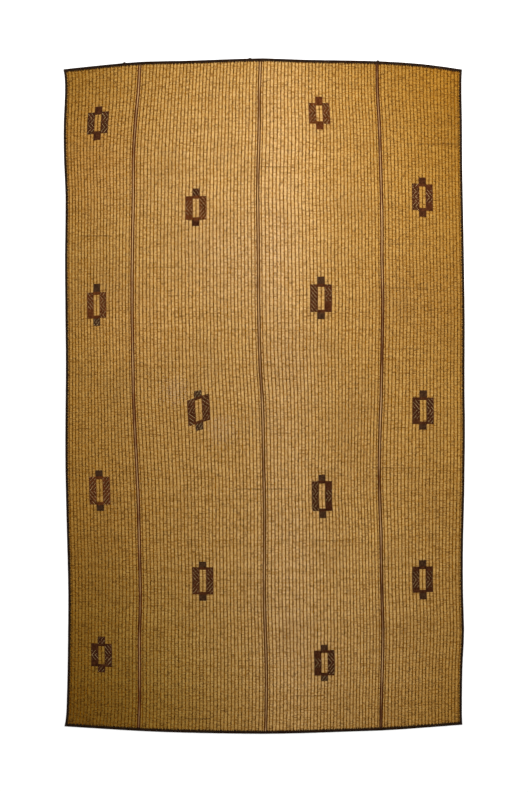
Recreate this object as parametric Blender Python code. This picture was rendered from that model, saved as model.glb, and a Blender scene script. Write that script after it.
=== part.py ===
"""A tuareg mat lying flat: reed panels side by side, leather strips that join them, and a leather binding.

Metres, +Z up. The mat lies on the plane z = 0 with its length along Y, and the origin is under its middle.
The strips of a hand-made mat wander, so the pieces share seven uneven lines: five run lengthwise, from one
long edge over the three seams to the other, and two run across, along the ends.
"""

from bisect import bisect_right
from collections import namedtuple
from math import exp, pi, sin

import bpy
from mathutils import Vector

# Thickness of each kind of piece
REED_THICKNESS = 0.0045
SEAM_THICKNESS = 0.0055
BINDING_THICKNESS = 0.0070

# Width of each leather piece
SEAM_WIDTH = 0.024
SIDE_BINDING_WIDTH = 0.0165
END_BINDING_WIDTH = 0.0205

GAP = 0.0003  # between neighbouring pieces
LEATHER_ROUND = 0.0015  # radius along the edges of the leather pieces

# The corners draw out into small points, further on the left side than on the right.
LEFT_FLARE = 0.014
RIGHT_FLARE = 0.004
FLARE_REACH = 0.045

# Straight stretches in a line, how much shorter they get near its ends, and the least length of one
STRETCHES_ALONG = 50
STRETCHES_ACROSS = 30
END_CROWDING = 0.8
SHORTEST_STRETCH = 0.002

# Where the lengthwise lines cross each station along the length
Station = namedtuple("Station", "y left seam_1 seam_2 seam_3 right")
STATIONS = (
    Station(-2.50, -1.464, -0.928, 0.012, 0.865, 1.464),
    Station(-2.25, -1.457, -0.920, 0.018, 0.869, 1.465),
    Station(-2.00, -1.451, -0.920, 0.018, 0.876, 1.469),
    Station(-1.75, -1.448, -0.920, 0.011, 0.880, 1.481),
    Station(-1.50, -1.446, -0.913, 0.004, 0.874, 1.474),
    Station(-1.25, -1.450, -0.918, 0.004, 0.869, 1.472),
    Station(-1.00, -1.457, -0.923, 0.005, 0.866, 1.475),
    Station(-0.75, -1.463, -0.930, 0.004, 0.856, 1.482),
    Station(-0.50, -1.468, -0.941, -0.002, 0.854, 1.485),
    Station(-0.25, -1.468, -0.954, -0.005, 0.859, 1.488),
    Station(0.00, -1.466, -0.965, -0.013, 0.868, 1.485),
    Station(0.25, -1.464, -0.969, -0.029, 0.872, 1.485),
    Station(0.50, -1.467, -0.973, -0.035, 0.877, 1.486),
    Station(0.75, -1.469, -0.975, -0.040, 0.879, 1.484),
    Station(1.00, -1.471, -0.973, -0.040, 0.873, 1.480),
    Station(1.25, -1.468, -0.970, -0.043, 0.874, 1.476),
    Station(1.50, -1.467, -0.965, -0.046, 0.869, 1.471),
    Station(1.75, -1.478, -0.965, -0.041, 0.862, 1.467),
    Station(2.00, -1.480, -0.952, -0.034, 0.854, 1.466),
    Station(2.25, -1.470, -0.929, -0.033, 0.840, 1.462),
    Station(2.50, -1.470, -0.914, -0.025, 0.837, 1.462),
)

# Where the two ends cross each ordinate across the width: they bow outwards
Ordinate = namedtuple("Ordinate", "x bottom top")
ORDINATES = (
    Ordinate(-1.5, -2.442, 2.415),
    Ordinate(-1.2, -2.461, 2.447),
    Ordinate(-0.9, -2.479, 2.474),
    Ordinate(-0.6, -2.490, 2.479),
    Ordinate(-0.3, -2.496, 2.490),
    Ordinate(0.0, -2.499, 2.499),
    Ordinate(0.3, -2.494, 2.487),
    Ordinate(0.6, -2.483, 2.483),
    Ordinate(0.9, -2.473, 2.475),
    Ordinate(1.2, -2.452, 2.453),
    Ordinate(1.5, -2.429, 2.411),
)

Finish = namedtuple("Finish", "color roughness")
REED = Finish((0.50, 0.28, 0.085, 1.0), 0.62)
SEAM_LEATHER = Finish((0.12, 0.055, 0.030, 1.0), 0.55)
BINDING_LEATHER = Finish((0.022, 0.012, 0.008, 1.0), 0.50)


def clear_scene():
    for item in list(bpy.data.objects):
        bpy.data.objects.remove(item)


def smooth(rows, column, place):
    """The column's value at a place between the rows, on a smooth curve through them."""
    places = [row[0] for row in rows]
    values = [getattr(row, column) for row in rows]
    last = len(rows) - 1
    low = min(max(bisect_right(places, place) - 1, 0), last - 1)
    span = places[low + 1] - places[low]
    slopes = []
    for i in (low, low + 1):
        before = max(i - 1, 0)
        after = min(i + 1, last)
        slopes.append((values[after] - values[before]) / (places[after] - places[before]))
    t = (place - places[low]) / span
    rise = values[low + 1] - values[low]
    bend = (1 - t) * (slopes[0] * span - rise) - t * (slopes[1] * span - rise)
    return values[low] + t * rise + t * (1 - t) * bend


def knots(start, finish, stretches):
    """The ends of a line's straight stretches, closer together near the ends of the line."""
    shares = [i / stretches for i in range(stretches + 1)]
    return [
        start + (finish - start) * (t - END_CROWDING * sin(2 * pi * t) / (2 * pi))
        for t in shares
    ]


ALONG = knots(STATIONS[0].y, STATIONS[-1].y, STRETCHES_ALONG)
ACROSS = knots(ORDINATES[0].x, ORDINATES[-1].x, STRETCHES_ACROSS)


def straightened(curve, stops, offset):
    """The curve as straight stretches between the stops, moved by the offset, so that neighbours match."""
    heights = [curve(stop) + offset for stop in stops]

    def line(place):
        low = min(max(bisect_right(stops, place) - 1, 0), len(stops) - 2)
        t = (place - stops[low]) / (stops[low + 1] - stops[low])
        return heights[low] + t * (heights[low + 1] - heights[low])

    return line


def lengthwise(column, offset=0.0):
    """A line along the mat, as a function from y to x, moved sideways by the offset."""
    flare = {"left": -LEFT_FLARE, "right": RIGHT_FLARE}.get(column, 0.0)

    def curve(y):
        x = smooth(STATIONS, column, y)
        end = smooth(ORDINATES, "top", x) if y > 0 else -smooth(ORDINATES, "bottom", x)
        return x + flare * exp(-max(end - abs(y), 0.0) / FLARE_REACH)

    return straightened(curve, ALONG, offset)


def crosswise(column, offset=0.0):
    """A line across the mat, as a function from x to y, moved lengthwise by the offset."""
    return straightened(lambda x: smooth(ORDINATES, column, x), ACROSS, offset)


def corner(side, end):
    """Where a lengthwise line meets a crosswise one, by closing in on it."""
    y = end(0.0)
    for _ in range(20):
        x = side(y)
        y = end(x)
    return Vector((x, y))


def between(stops, start, finish):
    """The stops well inside a stretch, in the order that leads from start to finish."""
    low, high = sorted((start, finish))
    inside = [stop for stop in stops if low + SHORTEST_STRETCH < stop < high - SHORTEST_STRETCH]
    return inside if start < finish else inside[::-1]


def outline(left, right, bottom, top):
    """The closed outline between two lengthwise and two crosswise lines, anticlockwise from the lower left."""
    low_left, low_right = corner(left, bottom), corner(right, bottom)
    high_left, high_right = corner(left, top), corner(right, top)
    points = [low_left]
    points += [Vector((x, bottom(x))) for x in between(ACROSS, low_left.x, low_right.x)]
    points += [low_right]
    points += [Vector((right(y), y)) for y in between(ALONG, low_right.y, high_right.y)]
    points += [high_right]
    points += [Vector((x, top(x))) for x in between(ACROSS, high_right.x, high_left.x)]
    points += [high_left]
    points += [Vector((left(y), y)) for y in between(ALONG, high_left.y, low_left.y)]
    return points


def material(name, finish):
    made = bpy.data.materials.new(name)
    made.use_nodes = True
    shader = made.node_tree.nodes["Principled BSDF"]
    shader.inputs["Base Color"].default_value = finish.color
    shader.inputs["Roughness"].default_value = finish.roughness
    shader.inputs["Metallic"].default_value = 0.0
    return made


def flat_piece(name, points, thickness, finish, collection, rounding=0.0):
    """A flat outline given its thickness, lying on z = 0, with its rims rounded if a radius is given."""
    curve = bpy.data.curves.new(name, "CURVE")
    curve.dimensions = "2D"
    curve.fill_mode = "BOTH"
    curve.extrude = thickness / 2 - rounding
    curve.bevel_depth = rounding
    curve.bevel_resolution = 1
    curve.offset = -rounding
    spline = curve.splines.new("POLY")
    spline.points.add(len(points) - 1)
    for place, point in zip(spline.points, points):
        place.co = (point.x, point.y, 0.0, 1.0)
    spline.use_cyclic_u = True
    piece = bpy.data.objects.new(name, curve)
    piece.location.z = thickness / 2
    curve.materials.append(material(name, finish))
    collection.objects.link(piece)


def reed_panels(collection):
    """Four panels of reeds, each from one seam or side binding to the next."""
    beside_binding = SIDE_BINDING_WIDTH + GAP
    beside_seam = SEAM_WIDTH / 2 + GAP
    bottom = crosswise("bottom", END_BINDING_WIDTH + GAP)
    top = crosswise("top", -END_BINDING_WIDTH - GAP)
    borders = (
        (lengthwise("left", beside_binding), lengthwise("seam_1", -beside_seam)),
        (lengthwise("seam_1", beside_seam), lengthwise("seam_2", -beside_seam)),
        (lengthwise("seam_2", beside_seam), lengthwise("seam_3", -beside_seam)),
        (lengthwise("seam_3", beside_seam), lengthwise("right", -beside_binding)),
    )
    for number, (left, right) in enumerate(borders, start=1):
        points = outline(left, right, bottom, top)
        flat_piece(f"reed_panel_{number}", points, REED_THICKNESS, REED, collection)


def joining_strips(collection):
    """A narrow leather strip in each seam, from end binding to end binding."""
    bottom = crosswise("bottom", END_BINDING_WIDTH + GAP)
    top = crosswise("top", -END_BINDING_WIDTH - GAP)
    for number in (1, 2, 3):
        column = f"seam_{number}"
        left = lengthwise(column, -SEAM_WIDTH / 2)
        right = lengthwise(column, SEAM_WIDTH / 2)
        points = outline(left, right, bottom, top)
        name = f"joining_strip_{number}"
        flat_piece(name, points, SEAM_THICKNESS, SEAM_LEATHER, collection, LEATHER_ROUND)


def bindings(collection):
    """Leather folded tightly over the edges: the end pieces reach the corners, the side pieces run between."""
    left, right = lengthwise("left"), lengthwise("right")
    bottom, top = crosswise("bottom"), crosswise("top")
    inner_left = lengthwise("left", SIDE_BINDING_WIDTH)
    inner_right = lengthwise("right", -SIDE_BINDING_WIDTH)
    low_end = crosswise("bottom", END_BINDING_WIDTH + GAP)
    high_end = crosswise("top", -END_BINDING_WIDTH - GAP)
    strips = {
        "binding_bottom": outline(left, right, bottom, crosswise("bottom", END_BINDING_WIDTH)),
        "binding_top": outline(left, right, crosswise("top", -END_BINDING_WIDTH), top),
        "binding_left": outline(left, inner_left, low_end, high_end),
        "binding_right": outline(inner_right, right, low_end, high_end),
    }
    for name, points in strips.items():
        flat_piece(name, points, BINDING_THICKNESS, BINDING_LEATHER, collection, LEATHER_ROUND)


def main():
    clear_scene()
    collection = bpy.data.collections.new("tuareg_mat")
    bpy.context.scene.collection.children.link(collection)
    reed_panels(collection)
    joining_strips(collection)
    bindings(collection)


main()
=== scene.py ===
"""The looks of a tuareg mat: reeds, leather lacing, woven ornaments, joining strips and a leather binding.

Metres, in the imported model's frame: the mat lies on z = 0 with its length along Y. Each flat piece has its
own coordinates: u runs across it from 0 at its left side to 1 at its right, and v along it from 0 at its
bottom end to 1 at its top. In a reed panel, reeds lie at even steps of v and lacing lines at even steps of u.
Among the values below, a _WAVE is the length of an uneven line's longest wave, and an _UNEVEN says how far a
place strays by chance.
"""

from collections import namedtuple
from math import ceil, cos, pi, tau

import bpy
import numpy as np
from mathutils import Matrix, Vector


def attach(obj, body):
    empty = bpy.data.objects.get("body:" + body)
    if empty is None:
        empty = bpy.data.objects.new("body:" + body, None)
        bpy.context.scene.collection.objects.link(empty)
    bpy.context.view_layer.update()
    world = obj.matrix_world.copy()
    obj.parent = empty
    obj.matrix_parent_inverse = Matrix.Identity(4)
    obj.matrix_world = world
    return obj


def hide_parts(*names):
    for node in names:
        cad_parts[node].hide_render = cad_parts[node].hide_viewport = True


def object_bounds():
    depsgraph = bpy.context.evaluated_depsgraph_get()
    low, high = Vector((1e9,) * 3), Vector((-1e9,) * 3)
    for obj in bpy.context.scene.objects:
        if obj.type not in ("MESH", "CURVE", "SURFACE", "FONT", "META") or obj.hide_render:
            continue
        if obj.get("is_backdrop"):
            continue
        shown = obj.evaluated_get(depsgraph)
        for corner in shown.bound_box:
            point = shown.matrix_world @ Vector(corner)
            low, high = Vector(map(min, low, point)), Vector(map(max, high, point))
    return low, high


# The camera, the floor and the light
IMAGE_SPAN = 5.856  # metres that the image's longer side takes in, at the height of the mat's top
CAMERA_X = 0.001  # to the right of the mat's origin
LENS = 50.0
SENSOR = 36.0
FLOOR_RADIUS = 60.0
FLOOR_Z = -0.0004
FLOOR_GLOW = 0.45
DAYLIGHT = 0.64  # strength of the even white light from all round

# Reeds
REED_PITCH = 0.0052
REED_HALF_WIDTH = 0.0028
REED_HALF_HEIGHT = 0.0020
REED_LIFT = 0.0008  # the lacing passes under the reeds
REED_SIDES = 6
REED_Y_UNEVEN = 0.00015
REED_Z_UNEVEN = 0.00012
REED_GIRTHS = (0.92, 1.04)
GIRTHS_ALONG = (0.97, 1.03)  # of one reed from place to place, to its girth
TUCK = 0.003  # how far the reeds' ends reach under the leather beside them
REED_SHARES = (0.0, 0.05, 0.15, 0.5, 0.85, 0.95, 1.0)  # of the bake map's width, from the underside round
SWAY = 0.0030  # sideways, of a panel's lacing lines together
SWAY_WAVE = 1.1

# Lacing: thongs that run over pairs of reeds and dip between them
THONG_WIDTH = 0.0064
THONG_SWELLS = ((0.15, 0.2), (0.30, 0.045))  # each a share of the width, and its longest wave
THONG_TOP = 0.0062
THONG_DIP = 0.0052
THONG_Z_UNEVEN = 0.0003
THONG_EDGE_DROP = 0.0010
STITCH_REEDS = 1.6  # reeds to each tone along a lacing line
LACE_WANDER = 0.045  # of the space between lacing lines
LACE_WAVE = 0.45
LACE_ZIGZAG = 0.02  # of the space between lacing lines
UNDER_STEPS = 60
UNDER_Z = 0.0003

# Ornaments: thongs side by side, charted in columns of a thong and rows of a reed
COLUMNS_PER_LACE = 6
BAR_COLUMNS = 13
OPENING_COLUMNS = 11
TAB_COLUMNS = 13
FRAME_ROWS = 4  # above and below the opening
HATCH_PITCH = 6  # columns from one pale line to the next
ZIGZAG_ROWS = 14
WORN_AWAY = 0.18  # share of the pale stitches that are missing
HATCH_WIDTH = 0.45  # of a pale stitch, to a column
HATCH_WIDTHS = (0.7, 1.2)  # of single stitches, to that
FLOAT_ROWS = 5  # from one dip of a thong to the next
ORNAMENT_TOP = 0.0066
ORNAMENT_DIP = 0.0056
ORNAMENT_UNDER = 0.0018
ORNAMENT_Z_UNEVEN = 0.0002
HATCH_TOP = 0.0069

# Joining strips
STRIP_TOP = 0.0046
STRIP_REACH = 0.48  # each way from the middle, to the CAD strip's width
STRIP_STEPS = 300
STRIP_SIDES = 8
STRIP_SWELL = (0.06, 0.15)  # a share of the height, and its longest wave
STITCH_PITCH = 0.0066
STITCH_LENGTH = 1.25  # along the strip, to the pitch
STITCH_LINE = 0.0086  # from the middle of the strip
STITCH_WANDER = 0.0006
STITCH_WAVE = 0.3
STITCH_REACH = 0.0049
STITCH_SLANT = 0.0042
STITCH_SIZES = (0.85, 1.1)
STITCH_TOP = 0.0064
STITCH_END_DROP = 0.0014
STITCH_EDGE_DROP = 0.0009

# Binding
BINDING_TOP = 0.0068
BINDING_REACH = 0.54  # each way from the middle, to the CAD binding's width
BINDING_SIDES = 10
BINDING_THINNING = (0.03, 0.12)  # a share of the width, and its longest wave
BINDING_LOWERING = (0.05, 0.1)  # the same of the height
SIDE_STEPS = 320
END_STEPS = 360
WRAP_WIDTH = 0.0070
WRAP_WIDTHS = (0.7, 1.1)  # of single wraps, to that
WRAP_SLANT = 0.6  # at most, to the width
WRAP_RISE = 0.0006
WRAP_INSET = 0.33  # how far a wrap reaches in past the binding, to the binding's width
WRAP_OUTSET = 0.02
WRAP_INNER_END = 0.0054
SIDE_WRAP_PITCH = 0.012
END_WRAPS_PER_LACE = 2
KNOTS = (-1.031, -0.103, 0.843)  # in X, on the top binding
KNOT_RADIUS = 0.0085
KNOT_HEIGHT = 0.0045
KNOT_Z = 0.0050
KNOT_INSET = 0.002

# A reed panel's node, its number of lacing lines, the number of straight stretches in each of its reeds, how
# far its middle lines crowd to the right, to its width, and the line on which its ornaments lie
Panel = namedtuple("Panel", "node laces segments crowding ornament_lace")
PANELS = (
    Panel("reed_panel_1", 20, 5, -0.011, 9),
    Panel("reed_panel_2", 35, 10, 0.004, 17),
    Panel("reed_panel_3", 34, 6, 0.018, 16),
    Panel("reed_panel_4", 23, 5, 0.009, 11),
)

# How a bar is hatched, between two shares of its length
Hatch = namedtuple("Hatch", "kind low high", defaults=(0.0, 1.0))
ZIGZAG = Hatch("zigzag")
ARROW = Hatch("arrow", 0.05, 0.95)
ARROW_INNER = Hatch("arrow", 0.2, 0.8)
ARROW_MIDDLE = Hatch("arrow", 0.3, 0.7)
RETURN = Hatch("return")
RETURN_MIDDLE = Hatch("return", 0.3, 0.7)

# An ornament's panel, the middle of its body, the lengths of its body and tabs, the hatching of its left and
# right bars, the tones of its leather on the body and the tabs, the kinds of hatching on its top and bottom
# tabs, if any, and how its rows slope
Ornament = namedtuple(
    "Ornament",
    "panel y body top_tab bottom_tab left right tone tabs top bottom slope",
    defaults=("", "", 0.0),
)
ORNAMENTS = (
    Ornament(1, 2.020, 0.162, 0.042, 0.045, ZIGZAG, ZIGZAG, "dark", "dark"),
    Ornament(1, 0.672, 0.194, 0.060, 0.055, Hatch("falling", 0.35), ZIGZAG, "light", "black", "", "rising"),
    Ornament(1, -0.701, 0.209, 0.045, 0.049, RETURN, Hatch("rising"), "light", "black"),
    Ornament(1, -1.915, 0.172, 0.051, 0.043, RETURN_MIDDLE, ARROW, "dark", "dark", "rising", "rising"),
    Ornament(2, 1.392, 0.177, 0.055, 0.049, Hatch("return", 0.2, 0.8), ARROW, "light", "dark", "falling"),
    Ornament(2, -0.103, 0.197, 0.048, 0.050, RETURN, ARROW, "brown", "black", "rising", "rising", 0.45),
    Ornament(2, -1.367, 0.202, 0.041, 0.045, ARROW, ARROW, "brown", "black"),
    Ornament(3, 2.091, 0.156, 0.047, 0.043, ARROW, ZIGZAG, "light", "light"),
    Ornament(3, 0.725, 0.207, 0.055, 0.051, Hatch("falling"), Hatch("zigzag", 0.4), "brown", "black"),
    Ornament(3, -0.738, 0.222, 0.048, 0.050, ZIGZAG, ARROW_MIDDLE, "dark", "black"),
    Ornament(3, -1.975, 0.185, 0.044, 0.043, ARROW_MIDDLE, ARROW, "dark", "black", "", "rising"),
    Ornament(4, 1.468, 0.196, 0.047, 0.045, ZIGZAG, Hatch("arrow", 0.3, 0.8), "brown", "dark"),
    Ornament(4, -0.107, 0.198, 0.053, 0.044, Hatch("arrow", 0.2, 0.9), ARROW, "dark", "black"),
    Ornament(4, -1.359, 0.194, 0.046, 0.051, ARROW_INNER, ARROW_INNER, "dark", "black"),
)
SLOPE_REACH = 0.16  # of an ornament's slope, round its middle

# Painted shade of thin creases that run a little way along the reeds, and how dark it is
CreaseShade = namedtuple("CreaseShade", "y left right depth")
CREASE_SHADES = (
    CreaseShade(1.864, 1.153, 1.464, 0.8),
    CreaseShade(1.696, -0.080, 0.220, 0.5),
    CreaseShade(1.184, -1.360, -1.124, 0.8),
    CreaseShade(1.124, 0.850, 1.240, 0.5),
    CreaseShade(0.954, -0.830, -0.590, 0.5),
    CreaseShade(0.800, 0.850, 1.200, 0.5),
    CreaseShade(0.348, 0.890, 1.180, 0.5),
    CreaseShade(-0.532, 0.800, 1.200, 0.5),
    CreaseShade(-0.688, -0.200, 0.000, 0.9),
    CreaseShade(-0.688, 0.020, 0.210, 0.8),
    CreaseShade(-1.072, 0.380, 0.650, 0.5),
    CreaseShade(-1.656, 0.390, 0.610, 0.5),
    CreaseShade(-2.218, 0.240, 0.440, 0.6),
    CreaseShade(-2.388, -0.577, -0.392, 0.8),
)

# Broad soft places where the reeds are lighter or darker, and what their colour is multiplied by
Fade = namedtuple("Fade", "x y reach tint")
BROAD_TINTS = (
    Fade(-1.30, 1.70, 0.60, (1.00, 0.95, 0.96)),
    Fade(-0.95, 0.55, 0.60, (1.07, 1.05, 1.08)),
    Fade(-0.55, -0.15, 0.45, (0.94, 0.93, 0.91)),
    Fade(-0.17, 1.00, 0.65, (1.00, 1.03, 1.20)),
    Fade(0.20, 0.25, 0.50, (0.91, 0.91, 0.95)),
    Fade(0.80, -1.15, 0.65, (1.09, 1.10, 1.08)),
    Fade(1.25, 0.72, 0.55, (0.92, 0.90, 0.91)),
    Fade(1.35, -0.25, 0.50, (1.10, 1.12, 1.14)),
    Fade(1.35, 2.35, 0.55, (1.15, 1.14, 1.05)),
)
PATINA_AND_SHADE = (0.752, 0.674, 0.417)  # what the reeds' colour is multiplied by at an age of 1: a deeper gold, darker as painted shade

# The dark and the worn colours of the leather
LACING_TONE = (0.040, 0.012, 0.0), (0.268, 0.095, 0.0)
ORNAMENT_TONES = {
    "black": ((0.022, 0.0085, 0.0035), (0.086, 0.040, 0.018)),
    "dark": ((0.024, 0.006, 0.002), (0.090, 0.030, 0.011)),
    "brown": ((0.032, 0.007, 0.002), (0.110, 0.035, 0.012)),
    "light": ((0.045, 0.010, 0.002), (0.155, 0.047, 0.013)),
}
PALE_TONE = (0.290, 0.195, 0.078), (0.770, 0.570, 0.280)
SEAM_TONES = (
    ((0.034, 0.006, 0.0), (0.127, 0.026, 0.0)),
    ((0.034, 0.008, 0.0), (0.127, 0.034, 0.0)),
    ((0.026, 0.004, 0.0), (0.097, 0.020, 0.0)),
)
BINDING_TONE = (0.008, 0.004, 0.002), (0.030, 0.015, 0.008)

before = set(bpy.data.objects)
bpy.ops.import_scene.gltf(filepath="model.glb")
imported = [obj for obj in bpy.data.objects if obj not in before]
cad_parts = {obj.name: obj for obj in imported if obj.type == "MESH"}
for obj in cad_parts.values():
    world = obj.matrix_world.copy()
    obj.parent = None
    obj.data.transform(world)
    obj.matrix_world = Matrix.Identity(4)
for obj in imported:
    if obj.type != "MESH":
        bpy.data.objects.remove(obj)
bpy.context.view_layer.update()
rng = np.random.default_rng(11)


# The camera, the floor and the light


def look_down():
    """A camera straight above the mat's origin, but for a millimetre. The image's top is towards +Y."""
    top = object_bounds()[1].z
    data = bpy.data.cameras.new("camera")
    data.lens = LENS
    data.sensor_width = SENSOR
    camera = bpy.data.objects.new("camera", data)
    camera.location = (CAMERA_X, 0.0, top + IMAGE_SPAN * LENS / SENSOR)
    bpy.context.scene.collection.objects.link(camera)
    bpy.context.scene.camera = camera


def area_light(name, place, towards, size, power, color):
    data = bpy.data.lights.new(name, "AREA")
    data.shape = "RECTANGLE"
    data.size, data.size_y = size
    data.energy = power
    data.color = color
    light = bpy.data.objects.new(name, data)
    light.location = place
    away = light.location - type(light.location)(towards)
    light.rotation_euler = away.to_track_quat("Z", "Y").to_euler()
    light.visible_camera = False
    bpy.context.scene.collection.objects.link(light)


def soft_daylight():
    world = bpy.data.worlds.new("studio")
    world.use_nodes = True
    background = world.node_tree.nodes["Background"]
    background.inputs["Color"].default_value = (1.0, 1.0, 1.0, 1.0)
    background.inputs["Strength"].default_value = DAYLIGHT
    bpy.context.scene.world = world


def floor():
    place = (0.0, 0.0, FLOOR_Z)
    bpy.ops.mesh.primitive_circle_add(vertices=64, radius=FLOOR_RADIUS, fill_type="NGON", location=place)
    ground = bpy.context.object
    ground.name = "floor"
    look = Look("pale_floor", 0.9, 0.0)
    look.set("Base Color", (0.85, 0.85, 0.85))
    look.set("Emission Color", (1.0, 1.0, 1.0))
    look.set("Emission Strength", FLOOR_GLOW)
    ground.data.materials.append(look.material)
    ground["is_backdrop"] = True


# Materials


class Look:
    """A material, with short ways to add its nodes. Colours are given as red, green and blue."""

    def __init__(self, name, roughness, specular):
        self.material = bpy.data.materials.new(name)
        self.material.use_nodes = True
        self.tree = self.material.node_tree
        self.shader = self.tree.nodes["Principled BSDF"]
        self.set("Roughness", roughness)
        self.set("Specular IOR Level", specular)

    def set(self, socket, value):
        self.feed(self.shader.inputs[socket], value)

    def feed(self, socket, value):
        if isinstance(value, bpy.types.NodeSocket):
            self.tree.links.new(value, socket)
        else:
            socket.default_value = (*value, 1.0) if socket.type == "RGBA" else value

    def node(self, kind, output, inputs, **settings):
        made = self.tree.nodes.new("ShaderNode" + kind)
        for key, value in settings.items():
            setattr(made, key, value)
        for key, value in inputs.items():
            self.feed(made.inputs[key], value)
        return made.outputs[output]

    def math(self, operation, a, b=0.0, c=0.0):
        return self.node("Math", 0, {0: a, 1: b, 2: c}, operation=operation)

    def times(self, a, b):
        return self.math("MULTIPLY", a, b)

    def distance(self, a, b):
        return self.math("ABSOLUTE", self.math("SUBTRACT", a, b))

    def total(self, *terms):
        """The sum of the terms, each a share and a value."""
        found = 0.0
        for share, value in terms:
            found = self.math("MULTIPLY_ADD", value, share, found)
        return found

    def parts(self, vector):
        made = self.tree.nodes.new("ShaderNodeSeparateXYZ")
        self.feed(made.inputs[0], vector)
        return made.outputs

    def vector(self, x, y, z=0.0):
        return self.node("CombineXYZ", 0, {0: x, 1: y, 2: z})

    def chance(self, x, y=0.0, z=0.0):
        """An even random value for each whole x, y and z."""
        return self.node("TexWhiteNoise", "Value", {"Vector": self.vector(x, y, z)})

    def noise(self, vector, scale, detail=2.0):
        return self.node("TexNoise", "Fac", {"Vector": vector, "Scale": scale, "Detail": detail})

    def between(self, value, low, high, start=0.0, end=1.0):
        """From start to end as the value goes from low to high, smoothly."""
        inputs = {"Value": value, "From Min": low, "From Max": high, "To Min": start, "To Max": end}
        return self.node("MapRange", 0, inputs, interpolation_type="SMOOTHSTEP")

    def blend(self, share, a, b, how="MIX"):
        return self.node("Mix", 2, {0: share, 6: a, 7: b}, data_type="RGBA", blend_type=how)

    def ramp(self, value, *stops):
        made = self.tree.nodes.new("ShaderNodeValToRGB")
        elements = made.color_ramp.elements
        while len(elements) < len(stops):
            elements.new(0.5)
        for element, (place, color) in zip(elements, stops):
            element.position = place
            element.color = (*color, 1.0)
        self.feed(made.inputs[0], value)
        return made.outputs[0]

    def bump(self, height, distance):
        self.set("Normal", self.node("Bump", 0, {"Height": height, "Distance": distance}))


def reed_material():
    """Dry golden stems, each of its own tone, darker beside the lacing with grime and painted shade, with
    painted shadows in a few gaps between stems, and of a deeper gold at the sides that is partly painted
    shade.
    """
    look = Look("dry_reed", 0.6, 0.1)
    place = look.node("TexCoord", "Object", {})
    x, y = look.parts(look.node("UVMap", 0, {}, uv_map="Weave"))[:2]
    stem = look.math("FLOOR", y)
    space = look.math("FLOOR", look.math("ADD", x, 0.5))

    own = look.chance(stem)
    patch = look.chance(space, stem)
    batch = look.noise(look.vector(look.times(space, 7.31), look.times(y, 0.55)), 1.0, 1.0)
    streak = look.noise(look.vector(look.times(x, 0.40), look.times(stem, 0.70)), 1.0, 3.0)
    tone = look.total((0.13, own), (0.27, patch), (0.12, batch), (0.34, streak), (1.0, 0.17))
    color = look.ramp(
        tone,
        (0.34, (0.242, 0.107, 0.019)),
        (0.50, (0.500, 0.278, 0.075)),
        (0.64, (0.628, 0.375, 0.121)),
        (0.86, (0.705, 0.460, 0.182)),
    )
    from_line = look.distance(look.math("FRACT", x), 0.5)
    # grime and painted shade beside the raised lacing, more in some spaces than others
    grime_and_shade = look.times(look.between(from_line, 0.12, 0.25, 1.0, 0.0), look.chance(space, stem, 4.0))
    color = look.blend(grime_and_shade, color, (0.185, 0.064, 0.001))
    # painted shadows of gaps between the stems, on a few short stretches of stem
    gap_shadow = look.math("LESS_THAN", look.chance(space, stem, 2.0), 0.05)
    color = look.blend(look.times(gap_shadow, 0.5), color, (0.110, 0.040, 0.006))
    flecks = look.noise(look.vector(look.times(x, 4.0), look.times(stem, 3.7)), 1.0, 1.0)
    color = look.blend(look.between(flecks, 0.54, 0.68, 0.0, 0.85), color, (0.110, 0.034, 0.003))
    blotch = look.noise(place, 2.2, 5.0)
    color = look.blend(look.between(blotch, 0.45, 0.75, 0.0, 0.25), color, (0.300, 0.170, 0.060))
    look.set("Base Color", crease_shaded(look, place, aged_and_shaded(look, place, color)))

    grain = look.noise(look.vector(look.times(x, 1.5), look.times(y, 9.0)), 1.0, 3.0)
    look.set("Roughness", look.between(grain, 0.3, 0.7, 0.55, 0.75))
    look.bump(grain, 0.0004)
    return look.material


def aged_and_shaded(look, place, color):
    """The colour with its broad changes over the mat: an age that is a polynomial of the place and less near
    the middle, which deepens the gold and darkens it as painted shade towards the sides, leaving a painted
    pool of light in the middle; a duller corner at the low left; and the broad tints."""
    across, along = look.parts(place)[:2]
    across_squared = look.times(across, across)
    along_squared = look.times(along, along)
    # painted pool of light: less age, so paler reeds, round the middle
    near_middle = look.between(look.distance(across, 0.17), 0.05, 0.40, 1.0, 0.0)
    age_and_shade = look.total(
        (0.407, across_squared),
        (0.223, look.times(across, along)),
        (-0.100, along_squared),
        (0.023, across),
        (-0.025, along),
        (-0.051, look.times(across, along_squared)),
        (-0.023, look.times(across_squared, along)),
        (0.087, look.times(across_squared, along_squared)),
        (0.025, look.times(along_squared, along_squared)),
        (-0.276, near_middle),
    )
    # the age deepens the gold and darkens the reeds as painted shade
    mellow_and_shade = look.vector(*(look.math("POWER", share, age_and_shade) for share in PATINA_AND_SHADE))
    color = look.blend(1.0, color, mellow_and_shade, "MULTIPLY")
    low = look.between(along, -2.4, -0.8, 1.0, 0.0)
    left = look.between(across, -1.4, 0.3, 1.0, 0.0)
    color = look.blend(look.times(low, left), color, (0.90, 1.03, 1.08), "MULTIPLY")
    for broad_tint in BROAD_TINTS:
        away = look.node("VectorMath", "Value", {0: place, 1: (broad_tint.x, broad_tint.y, 0.0)}, operation="DISTANCE")
        color = look.blend(look.between(away, 0.0, broad_tint.reach, 1.0, 0.0), color, broad_tint.tint, "MULTIPLY")
    return color


def crease_shaded(look, place, color):
    """The colour with the painted shade of the creases."""
    across, along = look.parts(place)[:2]
    for crease in CREASE_SHADES:
        off_line = look.distance(along, crease.y)
        off_middle = look.distance(across, (crease.left + crease.right) / 2)
        inside = look.math("LESS_THAN", off_middle, (crease.right - crease.left) / 2)
        # painted shade along each crease
        dark = look.times(look.between(off_line, 0.001, 0.005, crease.depth, 0.0), inside)
        color = look.blend(dark, color, (0.060, 0.022, 0.005))
    return color


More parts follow.
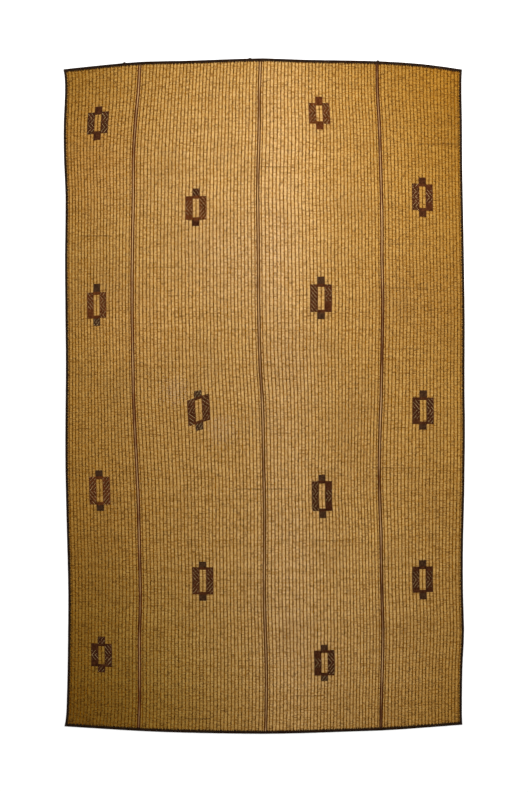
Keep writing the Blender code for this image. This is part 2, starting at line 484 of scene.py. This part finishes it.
def leather_material(name, tone, roughness=0.7, stitched=False):
    """Leather between a dark and a worn colour, with fine creases. Where stitched, each stitch has a tone."""
    look = Look(name, roughness, 0.02)
    place = look.node("TexCoord", "Object", {})
    patches = look.noise(place, 60.0, 4.0)
    fibres = look.noise(place, 540.0, 3.0)
    if stitched:
        x, y = look.parts(look.node("UVMap", 0, {}, uv_map="Weave"))[:2]
        stitch = look.chance(look.math("FLOOR", x), look.math("FLOOR", y))
        patches = look.between(stitch, 0.0, 1.0, 0.32, 0.68)
    dark, worn = tone
    wear = look.math("ADD", look.times(patches, 0.6), look.times(fibres, 0.4))
    look.set("Base Color", look.ramp(wear, (0.36, dark), (0.66, worn)))
    look.set("Roughness", look.between(fibres, 0.3, 0.7, roughness - 0.10, roughness + 0.12))
    look.bump(fibres, 0.0006)
    return look.material


def strip_material():
    """The joining strips: tan leather worn to a dark purple-brown in places, and paler towards the top. The
    middle strip is paler than the others, the left one has a pale stretch below its middle, and the right one
    is browner above its lower end."""
    look = Look("strip_leather", 0.7, 0.02)
    place = look.node("TexCoord", "Object", {})
    x, y = look.parts(place)[:2]
    patches = look.noise(look.vector(look.times(x, 0.8), look.times(y, 1.3)), 2.0, 4.0)
    on_middle = look.between(look.distance(x, -0.02), 0.1, 0.3, 1.0, 0.0)
    on_left = look.between(x, -0.6, -0.4, 1.0, 0.0)
    on_right = look.between(x, 0.4, 0.8)
    upwards = look.between(y, -0.2, 1.2)
    pale_stretch = look.between(look.distance(y, -0.55), 0.2, 0.8, 1.0, 0.0)
    above_end = look.between(y, -1.6, -0.6)
    wear = look.total(
        (1.0, patches),
        (0.05, upwards),
        (0.03, on_middle),
        (0.06, look.times(on_left, pale_stretch)),
        (-0.06, look.times(on_right, above_end)),
    )
    fibres = look.noise(place, 400.0, 3.0)
    color = look.ramp(
        look.math("ADD", look.times(wear, 0.8), look.times(fibres, 0.2)),
        (0.38, (0.100, 0.044, 0.018)),
        (0.47, (0.270, 0.145, 0.060)),
        (0.58, (0.500, 0.300, 0.125)),
    )
    look.set("Base Color", color)
    look.bump(fibres, 0.0006)
    return look.material


# Plans of the flat pieces


def waves(places, longest, count=1):
    """Smooth random lines at the places, between about -1 and 1, whose longest wave is given in metres."""
    total = np.zeros((count, len(places)))
    for k in range(1, 7):
        total += np.sin(tau * (k * places / longest + rng.random((count, 1)))) / k
    return total / 2


def outline_of(node):
    """The places round the node's outline, anticlockwise, from the upper edges of its upright faces."""
    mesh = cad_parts[node].data
    upright = [
        [mesh.vertices[i].co for i in face.vertices]
        for face in mesh.polygons
        if abs(face.normal.z) < 0.1
    ]
    rim = max(place.z for places in upright for place in places)
    onward = {}
    for places in upright:
        for here, there in zip(places, places[1:] + places[:1]):
            if min(here.z, there.z) > rim - 1e-5:
                onward[tuple(round(c, 5) for c in there.xy)] = tuple(round(c, 5) for c in here.xy)
    start = next(iter(onward))
    loop = [start]
    while onward[loop[-1]] != start:
        loop.append(onward[loop[-1]])
    return np.array(loop)


class Plan:
    """A flat piece's own coordinates. Its crosswise lines are straight between even stops. Each slope is the
    middle of a slanting ornament and how much the rows rise there towards the right."""

    def __init__(self, node, segments=20, crowding=0.0, sway=0.0, slopes=()):
        loop = outline_of(node)
        corners = [int(np.argmax(loop @ np.array(way))) for way in ((-1, -1), (1, -1), (1, 1), (-1, 1))]
        lines = []
        for start, finish in zip(corners, corners[1:] + corners[:1]):
            steps = (finish - start) % len(loop) + 1
            lines.append(loop[(start + np.arange(steps)) % len(loop)])
        self.bottom, self.right, self.top, self.left = lines[0], lines[1], lines[2][::-1], lines[3][::-1]
        self.low, self.high = loop.min(axis=0), loop.max(axis=0)
        self.width = float(np.mean(self.right[:, 0]) - np.mean(self.left[:, 0]))
        self.length = float(np.mean(self.top[:, 1]) - np.mean(self.bottom[:, 1]))
        self.rows = round(self.length / REED_PITCH)
        self.segments = segments
        self.crowding = crowding
        self.sway = sway * waves(np.linspace(0, self.length, 500), SWAY_WAVE)[0]
        self.slopes = slopes

    def curved(self, u, v):
        """The x and y of u and v on lines that follow the outline, found in a few rounds."""
        u = u + 4 * self.crowding * u * (1 - u)
        y = self.low[1] + (self.high[1] - self.low[1]) * v
        for _ in range(4):
            left = np.interp(y, self.left[:, 1], self.left[:, 0])
            right = np.interp(y, self.right[:, 1], self.right[:, 0])
            x = left + (right - left) * u
            bottom = np.interp(x, self.bottom[:, 0], self.bottom[:, 1])
            top = np.interp(x, self.top[:, 0], self.top[:, 1])
            y = bottom + (top - bottom) * v
        x = x + np.sin(pi * u) * np.interp(v, np.linspace(0, 1, len(self.sway)), self.sway)
        for middle_x, middle_y, slope in self.slopes:
            away = (x - middle_x) ** 2 + (y - middle_y) ** 2
            y = y + slope * (x - middle_x) * np.exp(-away / (2 * SLOPE_REACH**2))
        return x, y

    def place(self, u, v):
        """The x and y of the places given by u and v."""
        u, v = np.broadcast_arrays(np.asarray(u, float), np.asarray(v, float))
        stop = np.clip(np.floor(u * self.segments), 0, self.segments - 1)
        share = u * self.segments - stop
        x0, y0 = self.curved(stop / self.segments, v)
        x1, y1 = self.curved((stop + 1) / self.segments, v)
        return x0 + share * (x1 - x0), y0 + share * (y1 - y0)

    def share_along(self, u, y):
        """The v of the place with this u and y."""
        shares = np.linspace(0, 1, 1000)
        return float(np.interp(y, self.place(u, shares)[1], shares))


# Meshes

# Many like strips of faces: points is [strip, along, across, xyz]. Where around is set each strip is a closed
# tube with flat ends. weave gives each point its place in the Weave map, keep says which steps along have
# faces, sections is how many stretches a strip is cut into in the bake map, and shares is where across the
# map the points lie.
Strips = namedtuple(
    "Strips",
    "points weave around keep sections shares",
    defaults=(None, False, None, 1, None),
)
STEP_ALONG = np.array((0, 0, 1, 1))
STEP_ACROSS = np.array((0, 1, 1, 0))
TUBE_SHARE = 0.96  # of a strip's length in the bake map, the rest of it being for the tube's ends
END_MARGIN = 0.1
MAP_MARGIN = 0.04


def side_faces(strips):
    """The strips' faces as point numbers, with each corner's strip and its shares along and across, and which
    faces are flat ends, here none."""
    count, along, across = strips.points.shape[:3]
    columns = across if strips.around else across - 1
    grids = np.meshgrid(np.arange(count), np.arange(along - 1), np.arange(columns), indexing="ij")
    line, step, column = (grid.ravel() for grid in grids)
    if strips.keep is not None:
        kept = strips.keep[line, step]
        line, step, column = line[kept], step[kept], column[kept]
    steps = step[:, None] + STEP_ALONG
    places = column[:, None] + STEP_ACROSS
    corners = (line[:, None] * along + steps) * across + places % across
    stretch = ceil((along - 1) / strips.sections)
    section = step // stretch
    length = TUBE_SHARE if strips.around else 1.0
    share_along = (steps - (section * stretch)[:, None]) / stretch * length
    shares = np.linspace(0, 1, columns + 1) if strips.shares is None else np.array(strips.shares)
    strip = line * strips.sections + section
    return corners, strip, share_along, shares[places], np.zeros(len(corners), bool)


def end_faces(strips):
    """The flat ends of the tubes, each a row of faces from side to side of a ring, in side_faces' form."""
    count, along, across = strips.points.shape[:3]
    lines = np.arange(count)
    row = range(across // 2 - 1)
    ends = [(0, k, True) for k in row] + [(along - 1, k, False) for k in row]
    near, far = END_MARGIN, 1 - END_MARGIN
    for number, (ring, k, reverse) in enumerate(ends):
        order = np.array((k, k + 1, across - 2 - k, across - 1 - k))
        order = order[::-1] if reverse else order
        corners = (lines[:, None] * along + ring) * across + order
        start = TUBE_SHARE + (1 - TUBE_SHARE) * (number + near) / len(ends)
        finish = TUBE_SHARE + (1 - TUBE_SHARE) * (number + far) / len(ends)
        share_along = np.broadcast_to((start, finish, finish, start), corners.shape)
        share_across = np.broadcast_to((near, near, far, far), corners.shape)
        yield corners, lines * strips.sections, share_along, share_across, np.ones(count, bool)


def mesh_of(name, groups, stacks):
    """Groups of strips as one mesh, with a bake map in which the strips lie in so many stacks."""
    points, weaves, faces = [], [], []
    first_point = first_strip = 0
    for group in groups:
        weave = np.zeros(group.points.shape[:3] + (2,)) if group.weave is None else group.weave
        points.append(group.points.reshape(-1, 3))
        weaves.append(weave.reshape(-1, 2))
        found = [side_faces(group)]
        if group.around:
            found += end_faces(group)
        for corners, strips, *others in found:
            faces.append((corners + first_point, strips + first_strip, *others))
        first_point += len(points[-1])
        first_strip += len(group.points) * group.sections
    points, weaves = np.concatenate(points), np.concatenate(weaves)
    corners, strips, share_along, share_across, ends = (np.concatenate(parts) for parts in zip(*faces))

    used, corners = np.unique(corners, return_inverse=True)
    corners = corners.reshape(-1, 4)
    points, weaves = points[used], weaves[used]
    mesh = bpy.data.meshes.new(name)
    mesh.vertices.add(len(points))
    mesh.vertices.foreach_set("co", points.astype(np.float32).ravel())
    mesh.loops.add(corners.size)
    mesh.loops.foreach_set("vertex_index", corners.astype(np.int32).ravel())
    mesh.polygons.add(len(corners))
    mesh.polygons.foreach_set("loop_start", np.arange(0, corners.size, 4, dtype=np.int32))
    mesh.update(calc_edges=True)
    mesh.polygons.foreach_set("use_smooth", np.ones(len(corners), bool))

    edge_of = np.empty(corners.size, np.int32)
    mesh.loops.foreach_get("edge_index", edge_of)
    sharp = np.zeros(len(mesh.edges), bool)
    sharp[edge_of.reshape(-1, 4)[ends]] = True  # or the ends would bend the sides' shading
    mesh.edges.foreach_set("use_edge_sharp", sharp)

    stack_size = ceil(first_strip / stacks)
    stack, row = strips[:, None] // stack_size, strips[:, None] % stack_size
    along = (stack + MAP_MARGIN / 4 + (1 - MAP_MARGIN / 2) * share_along) / stacks
    across = (row + MAP_MARGIN + (1 - 2 * MAP_MARGIN) * share_across) / stack_size
    for map_name, places in (("Weave", weaves[corners]), ("OFBake", np.stack([along, across], axis=2))):
        layer = mesh.uv_layers.new(name=map_name)
        layer.uv.foreach_set("vector", places.astype(np.float32).ravel())
    return mesh


def piece(name, groups, material, nodes=(), stacks=1):
    """Groups of strips as one piece that rides on the mat's body, in place of the CAD nodes given."""
    mesh = mesh_of(name, groups, stacks)
    mesh.materials.append(material)
    made = bpy.data.objects.new(name, mesh)
    bpy.context.scene.collection.objects.link(made)
    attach(made, "root")
    if nodes:
        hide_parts(*nodes)
    return made


def ribbons(x, y, z, width, drop):
    """Strips of three points across, through x, y and z, that run along Y and have lower edges."""
    across = np.array((-0.5, 0.0, 0.5))
    width = np.broadcast_to(width, x.shape)
    points = np.empty(x.shape + (3, 3))
    points[..., 0] = x[..., None] + width[..., None] * across
    points[..., 1] = y[..., None]
    points[..., 2] = z[..., None] - drop * np.abs(across) * 2
    return points


# Reed panels


def reeds(panel, plan):
    """The panel's stems, side by side, as closed tubes a little uneven in place and girth."""
    stops = np.linspace(0, 1, panel.segments + 1)
    stops[[0, -1]] += np.array((-TUCK, TUCK)) / plan.width
    row = np.arange(-1, plan.rows + 1)
    rows = len(row)
    x, y = plan.place(stops, ((row + 0.5) / plan.rows)[:, None])
    y = y + rng.uniform(-REED_Y_UNEVEN, REED_Y_UNEVEN, x.shape)
    girth = rng.uniform(*REED_GIRTHS, (rows, 1, 1)) * rng.uniform(*GIRTHS_ALONG, x.shape + (1,))
    turn = tau * (np.arange(REED_SIDES) / REED_SIDES - 0.25)
    points = np.empty(x.shape + (REED_SIDES, 3))
    points[..., 0] = x[..., None]
    points[..., 1] = y[..., None] + REED_HALF_WIDTH / cos(pi / REED_SIDES) * np.cos(turn)
    points[..., 2] = REED_LIFT + REED_HALF_HEIGHT * (1 + girth * np.sin(turn))
    points[..., 2] += rng.uniform(-REED_Z_UNEVEN, REED_Z_UNEVEN, (rows, 1, 1))
    weave = np.empty(x.shape + (REED_SIDES, 2))
    weave[..., 0] = (stops * panel.laces)[:, None]
    weave[..., 1] = row[:, None, None] + 0.5 + 0.35 * np.cos(turn)
    return Strips(points, weave, around=True, shares=REED_SHARES)


def chart(one):
    """An ornament's columns and rows, and the rows that its body lies in. 0 is bare, 1 is leather, and 2 or 3
    is leather with a rising or falling stitch."""
    low, body, high = (round(size / REED_PITCH) for size in (one.bottom_tab, one.body, one.top_tab))
    columns = 2 * BAR_COLUMNS + OPENING_COLUMNS
    cells = np.zeros((columns, low + body + high), int)
    cells[:, low : low + body] = 1
    cells[BAR_COLUMNS : -BAR_COLUMNS, low + FRAME_ROWS : low + body - FRAME_ROWS] = 0
    left, right = (columns - TAB_COLUMNS) // 2, (columns + TAB_COLUMNS) // 2
    cells[left:right, :low] = 1
    cells[left:right, low + body :] = 1
    hatch(cells[1 : BAR_COLUMNS - 1, low : low + body], one.left)
    hatch(cells[1 - BAR_COLUMNS : -1, low : low + body], one.right)
    if one.bottom:
        hatch(cells[left + 1 : right - 1, 1:low], Hatch(one.bottom))
    if one.top:
        hatch(cells[left + 1 : right - 1, low + body : -1], Hatch(one.top))
    return cells, low, low + body


def hatch(cells, how):
    """Marks the pale stitches of slanting lines in a bar's cells, a few of them worn away."""
    columns, rows = cells.shape
    column, row = np.meshgrid(np.arange(columns), np.arange(rows), indexing="ij")
    middle = rows // 2
    line = {
        "rising": column - row,
        "falling": column + row,
        "arrow": column + np.abs(row - middle),
        "return": column - np.abs(row - middle),
        "zigzag": column + np.abs((row - middle) % ZIGZAG_ROWS - ZIGZAG_ROWS // 2),
    }[how.kind]
    share = (row + 0.5) / rows
    falling = np.diff(line, axis=1, append=line[:, -1:]) > 0
    sewn = (line % HATCH_PITCH == 0) & (share > how.low) & (share < how.high)
    sewn &= rng.random(cells.shape) > WORN_AWAY
    cells[sewn] = np.where(falling, 3, 2)[sewn]


def lay_out(one, panel, plan):
    """An ornament's cells, its first row, the u of its columns' middles, and the rows of its body."""
    cells, low, high = chart(one)
    u = (panel.ornament_lace + 0.5) / panel.laces
    first = round(plan.share_along(u, one.y) * plan.rows - (low + high) / 2)
    columns = (np.arange(len(cells)) + 0.5 - len(cells) / 2) / COLUMNS_PER_LACE
    return cells, first, u + columns / panel.laces, (low, high)


def lacing(panel, plan, ornaments):
    """The panel's lacing lines, left out where an ornament's leather lies."""
    rows = plan.rows
    lines = np.arange(panel.laces)[:, None]
    steps = np.arange(rows + 1)
    shares = steps / rows
    wander = LACE_WANDER * waves(shares * plan.length, LACE_WAVE, panel.laces)
    wander += LACE_ZIGZAG * np.where((steps + lines) % 4 < 2, -1, 1)
    x, y = plan.place((lines + 0.5 + wander) / panel.laces, shares)
    z = np.where((steps + lines) % 2 == 0, THONG_TOP, THONG_DIP)
    z = z + rng.uniform(-THONG_Z_UNEVEN, THONG_Z_UNEVEN, x.shape)
    width = THONG_WIDTH
    for swell, longest in THONG_SWELLS:
        width = width * (1 + swell * waves(shares * plan.length, longest, panel.laces))
    keep = np.ones((panel.laces, rows), bool)
    for one in ornaments:
        cells, first = lay_out(one, panel, plan)[:2]
        middle = len(cells) // 2
        for column in range(middle % COLUMNS_PER_LACE, len(cells), COLUMNS_PER_LACE):
            lace = panel.ornament_lace + (column - middle) // COLUMNS_PER_LACE
            keep[lace, first : first + cells.shape[1]] &= cells[column] == 0
    points = ribbons(x, y, z, width, THONG_EDGE_DROP)
    weave = np.empty(points.shape[:3] + (2,))
    weave[..., 0] = lines[..., None] + 0.5
    weave[..., 1] = ((steps + lines) / STITCH_REEDS)[..., None]
    return Strips(points, weave, keep=keep, sections=8)


def under_lacing(panel, plan):
    """The lacing lines on the underside, facing down."""
    lines = np.arange(panel.laces)[:, None]
    x, y = plan.place((lines + 0.5) / panel.laces, np.linspace(0, 1, UNDER_STEPS + 1))
    across = np.array((0.5, -0.5))
    points = np.empty(x.shape + (2, 3))
    points[..., 0] = x[..., None] + THONG_WIDTH * across
    points[..., 1] = y[..., None]
    points[..., 2] = UNDER_Z
    return Strips(points)


def ornament(one, panel, plan):
    """The leather of an ornament's body and tabs, over or under the reeds as charted, and its stitches."""
    cells, first, u, (low, high) = lay_out(one, panel, plan)
    over = np.pad(cells, ((0, 0), (1, 1))) > 0
    rows = np.arange(over.shape[1]) - 1
    x, y = plan.place(u[:, None], (first + rows + 0.5) / plan.rows)
    column = np.arange(len(cells))[:, None]
    dips = (rows + 2 * column) % FLOAT_ROWS == 0
    z = np.where(over, np.where(dips, ORNAMENT_DIP, ORNAMENT_TOP), ORNAMENT_UNDER)
    z = z + rng.uniform(-ORNAMENT_Z_UNEVEN, ORNAMENT_Z_UNEVEN, z.shape)
    width = (x[1:] - x[:-1]).mean()
    points = ribbons(x, y, z, width, THONG_EDGE_DROP)
    shown = over[:, :-1] | over[:, 1:]
    on_body = (rows[1:] >= low) & (rows[:-1] < high)
    body, tabs = Strips(points, keep=shown & on_body), Strips(points, keep=shown & ~on_body)

    column, row = np.nonzero(cells > 1)
    middle_x, middle_y = plan.place(u[column], (first + row + 0.5) / plan.rows)
    lean = np.where(cells[column, row] == 2, 1.0, -1.0)[:, None, None]
    reach = np.array((-0.5, 0.5))
    broad = HATCH_WIDTH * rng.uniform(*HATCH_WIDTHS, (len(row), 1, 1))
    points = np.empty((len(row), 2, 2, 3))
    points[..., 0] = middle_x[:, None, None] + width * (lean * reach[:, None] + broad * reach)
    points[..., 1] = middle_y[:, None, None] + REED_PITCH * reach[:, None]
    points[..., 2] = HATCH_TOP + rng.uniform(-ORNAMENT_Z_UNEVEN, ORNAMENT_Z_UNEVEN, (len(row), 1, 1))
    return body, tabs, Strips(points)


# Joining strips and binding


def flattened(sides, fullness, roundness):
    """Points round a flattened roll's section: places across from -1 to 1, and heights from about 0 to 1."""
    turn = tau * (np.arange(sides) / sides + 0.5)
    rise = np.sin(turn)
    return np.cos(turn), 0.5 + fullness * np.sign(rise) * np.abs(rise) ** roundness


def joining_strip(plan):
    """The strip's leather, as a low closed tube."""
    shares = np.linspace(0, 1, STRIP_STEPS + 1)
    across, lift = flattened(STRIP_SIDES, 0.46, 0.6)
    x, y = plan.place(0.5 + STRIP_REACH * across, shares[:, None])
    points = np.stack([x, y, np.broadcast_to(STRIP_TOP * lift, x.shape)], axis=-1)
    share, longest = STRIP_SWELL
    points[..., 2] *= 1 + share * waves(shares * plan.length, longest)[0][:, None]
    return Strips(points[None, :, ::-1], around=True, sections=6)


def seam_stitches(plan):
    """Two lines of slanting stitches that sew a strip to the panels on its sides."""
    count = round(plan.length / STITCH_PITCH)
    shares = (np.arange(count) + 0.5) / count
    middle_x, middle_y = plan.place(0.5, shares)
    reach = np.linspace(-1, 1, 4)
    across = np.array((0.5, 0.0, -0.5))
    lines = []
    for side in (-1, 1):
        centre_x = middle_x + side * STITCH_LINE + STITCH_WANDER * waves(shares * plan.length, STITCH_WAVE)[0]
        size = rng.uniform(*STITCH_SIZES, (count, 1, 1))
        points = np.empty((count, 4, 3, 3))
        points[..., 0] = centre_x[:, None, None] + size * STITCH_REACH * reach[:, None]
        points[..., 1] = middle_y[:, None, None] + side * STITCH_SLANT * reach[:, None]
        points[..., 1] += size * STITCH_LENGTH * STITCH_PITCH * across
        arch = STITCH_TOP - STITCH_END_DROP * reach**2
        points[..., 2] = arch[:, None] - 2 * STITCH_EDGE_DROP * np.abs(across)
        lines.append(Strips(points))
    return lines


def on_binding(plan, along, across, crosswise):
    """The x and y of shares along and across a binding, which lies crosswise at an end of the mat."""
    return plan.place(along, across) if crosswise else plan.place(across, along)


def lessened(places, share, longest):
    """A size along the places that is about 1 at its most, and twice the share less at its least."""
    return 1 - share + share * waves(places, longest)[0]


def binding(plan, crosswise):
    """A piece of binding, as a closed roll of leather a little uneven in width and height."""
    length, steps, sections = (plan.width, END_STEPS, 6) if crosswise else (plan.length, SIDE_STEPS, 8)
    shares = np.linspace(0, 1, steps + 1)
    around, lift = flattened(BINDING_SIDES, 0.49, 0.7)
    reach = BINDING_REACH * lessened(shares * length, *BINDING_THINNING)
    x, y = on_binding(plan, shares[:, None], 0.5 + reach[:, None] * around, crosswise)
    top = BINDING_TOP * lessened(shares * length, *BINDING_LOWERING)
    points = np.stack([x, y, lift * top[:, None]], axis=-1)[None]
    return Strips(points if crosswise else points[:, :, ::-1], around=True, sections=sections)


def wraps(plan, places, crosswise, inner_first):
    """Thongs wrapped over a binding at the shares along it, and sewn into the mat at their inner ends, which
    come first across the top and right bindings."""
    reach = np.linspace(0, 1, 7)
    count = len(places)
    length = plan.width if crosswise else plan.length
    half = WRAP_WIDTH / 2 / length * rng.uniform(*WRAP_WIDTHS, count)
    slant = rng.uniform(-WRAP_SLANT, WRAP_SLANT, count) * WRAP_WIDTH / length
    along = places[:, None, None] + half[:, None, None] * np.array((-1, 0, 1))
    along = np.clip(along + (slant[:, None] * (reach - 0.5))[..., None], 0, 1)
    low, high = (-WRAP_INSET, 1 + WRAP_OUTSET) if inner_first else (-WRAP_OUTSET, 1 + WRAP_INSET)
    across = low + (high - low) * (0.5 - 0.5 * np.cos(pi * reach))
    x, y = on_binding(plan, along, across[:, None], crosswise)
    ends = BINDING_TOP / 2 + (WRAP_INNER_END - BINDING_TOP / 2) * (reach[::-1] if inner_first else reach)
    z = ends + (BINDING_TOP - ends) * np.sin(pi * reach) ** 0.5
    z = z[:, None] + WRAP_RISE * np.array((0.3, 1.0, 0.3))
    points = np.stack([x, y, np.broadcast_to(z, x.shape)], axis=-1)
    return Strips(points[:, ::-1] if crosswise else points)


def knot(x, y):
    """A small lump of knotted thong, as a closed tube that narrows at its ends."""
    turn = tau * np.arange(8) / 8
    tilt = np.linspace(0.12, pi - 0.12, 7)
    lumps = 1 + 0.15 * np.sin(3 * turn)[None, :] * np.sin(2 * tilt)[:, None]
    points = np.empty((1, 7, 8, 3))
    points[0, ..., 0] = x - 1.2 * KNOT_RADIUS * np.cos(tilt)[:, None]
    points[0, ..., 1] = y + KNOT_RADIUS * lumps * np.sin(tilt)[:, None] * np.cos(turn)
    points[0, ..., 2] = KNOT_Z + KNOT_HEIGHT * lumps * np.sin(tilt)[:, None] * np.sin(turn)
    return Strips(points, around=True)


# Putting the mat together


def panel_plan(panel, ornaments):
    """A panel's plan, whose rows slope at its slanting ornaments."""
    level = Plan(panel.node)
    middle_x = level.place((panel.ornament_lace + 0.5) / panel.laces, 0.5)[0]
    slopes = [(middle_x, one.y, one.slope) for one in ornaments if one.slope]
    return Plan(panel.node, panel.segments, panel.crowding, SWAY, slopes)


def lay_panels():
    """The four reed panels with their lacing and ornaments."""
    dry_reed = reed_material()
    lace_leather = leather_material("lacing_leather", LACING_TONE, stitched=True)
    pale = leather_material("pale_stitches", PALE_TONE)
    tones = {name: leather_material(f"ornament_{name}", tone) for name, tone in ORNAMENT_TONES.items()}
    for label, panel in enumerate(PANELS, 1):
        own = [one for one in ORNAMENTS if one.panel == label]
        plan = panel_plan(panel, own)
        stems = piece(f"reeds_{label}", [reeds(panel, plan)], dry_reed, [panel.node], stacks=6)
        laces = piece(f"lacing_{label}", [lacing(panel, plan, own)], lace_leather)
        below = piece(f"under_lacing_{label}", [under_lacing(panel, plan)], lace_leather)
        for place, one in enumerate(own, 1):
            body, tabs, stitches = ornament(one, panel, plan)
            title = f"ornament_{label}_{place}"
            piece(title, [body], tones[one.tone])
            piece(f"{title}_tabs", [tabs], tones[one.tabs])
            piece(f"{title}_stitches", [stitches], pale, stacks=8)


def sew_strips():
    """The three joining strips, each sewn to its panels with thongs of its own tone."""
    leather = strip_material()
    for number, tone in enumerate(SEAM_TONES, 1):
        node = f"joining_strip_{number}"
        plan = Plan(node)
        strip = piece(f"strip_{number}", [joining_strip(plan)], leather, [node])
        thong = leather_material(f"seam_thong_{number}", tone)
        sewn = piece(f"strip_stitches_{number}", seam_stitches(plan), thong, stacks=8)


def bind_edges():
    """The binding along the sides and the ends, with its wraps, and the knots on the top end."""
    leather = leather_material("edge_leather", BINDING_TONE, 0.6)
    for edge in ("left", "right", "top", "bottom"):
        node = f"binding_{edge}"
        plan = Plan(node)
        crosswise = edge in ("top", "bottom")
        if crosswise:
            count = END_WRAPS_PER_LACE * sum(panel.laces for panel in PANELS)
        else:
            count = round(plan.length / SIDE_WRAP_PITCH)
        places = (np.arange(count) + rng.uniform(0.3, 0.7, count)) / count
        groups = [binding(plan, crosswise), wraps(plan, places, crosswise, edge in ("top", "right"))]
        if edge == "top":
            groups += [knot(x, np.interp(x, *plan.top.T) - KNOT_INSET) for x in KNOTS]
        piece(f"edge_{edge}", groups, leather, [node])


look_down()
soft_daylight()
area_light(
    "window",
    place=(1.0, 2.5, 3.4),
    towards=(0.5, 1.2, 0.0),
    size=(3.5, 1.5),
    power=135.0,
    color=(1.0, 0.98, 0.94),
)
floor()
lay_panels()
sew_strips()
bind_edges()
bpy.context.scene.view_settings.view_transform = "Standard"
